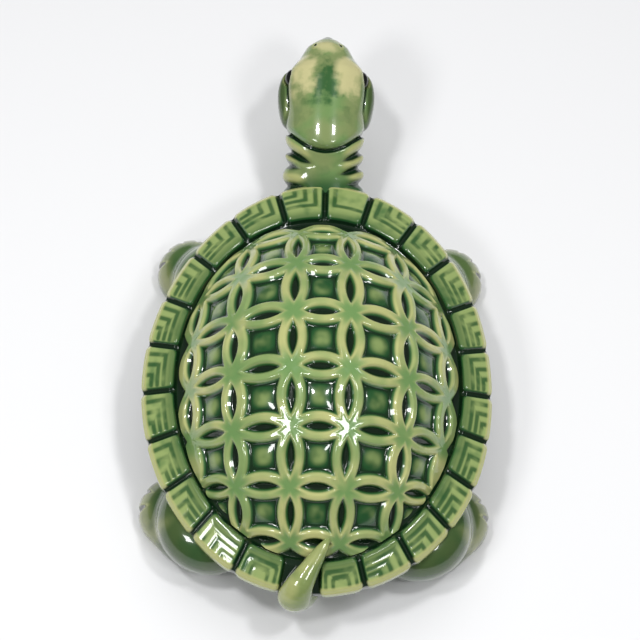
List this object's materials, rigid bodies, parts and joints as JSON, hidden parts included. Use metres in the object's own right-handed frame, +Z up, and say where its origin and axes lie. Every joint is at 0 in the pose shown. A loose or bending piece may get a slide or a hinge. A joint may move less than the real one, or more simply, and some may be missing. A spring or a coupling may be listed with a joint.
{
  "type": "turtle figurine",
  "caption": "Hollow glazed ceramic turtle with a domed shell, a raised ring lattice on it, a rim of key-pattern scutes, a raised head, splayed feet and a curled tail.",
  "frame": {"origin": "middle of the bounding box in plan, on the level of the soles", "axes": "+Z up; +Y towards the nose; +X towards the turtle's right side"},
  "size_m": [0.1244, 0.216, 0.0647],
  "materials": {
    "glaze_lattice": "gloss, sage green breaking to tan on raised edges",
    "glaze_dome": "gloss, green pooling dark in the hollows",
    "glaze_rim": "gloss, dark green",
    "glaze_scutes": "gloss, green with pale lips",
    "glaze_skin": "gloss, yellow green",
    "glaze_legs": "gloss, olive green with pale toes",
    "glaze_belly": "gloss, dull green",
    "glaze_eye": "gloss, near black"
  },
  "bodies": {
    "root": {"carapace_dome": "glaze_dome", "coin_lattice": "glaze_lattice", "carapace_rim": "glaze_rim", "marginal_scute_01": "glaze_scutes", "marginal_scute_02": "glaze_scutes", "marginal_scute_03": "glaze_scutes", "marginal_scute_04": "glaze_scutes", "marginal_scute_05": "glaze_scutes", "marginal_scute_06": "glaze_scutes", "marginal_scute_07": "glaze_scutes", "marginal_scute_08": "glaze_scutes", "marginal_scute_09": "glaze_scutes", "marginal_scute_10": "glaze_scutes", "marginal_scute_11": "glaze_scutes", "marginal_scute_12": "glaze_scutes", "marginal_scute_13": "glaze_scutes", "marginal_scute_14": "glaze_scutes", "marginal_scute_15": "glaze_scutes", "marginal_scute_16": "glaze_scutes", "marginal_scute_17": "glaze_scutes", "marginal_scute_18": "glaze_scutes", "marginal_scute_19": "glaze_scutes", "marginal_scute_20": "glaze_scutes", "marginal_scute_21": "glaze_scutes", "marginal_scute_22": "glaze_scutes", "marginal_scute_23": "glaze_scutes", "plastron": "glaze_belly", "neck": "glaze_skin", "head": "glaze_skin", "tail": "glaze_skin", "left_eye": "glaze_eye", "right_eye": "glaze_eye", "front_left_leg": "glaze_legs", "rear_left_leg": "glaze_legs", "front_right_leg": "glaze_legs", "rear_right_leg": "glaze_legs"}
  },
  "joints": []
}
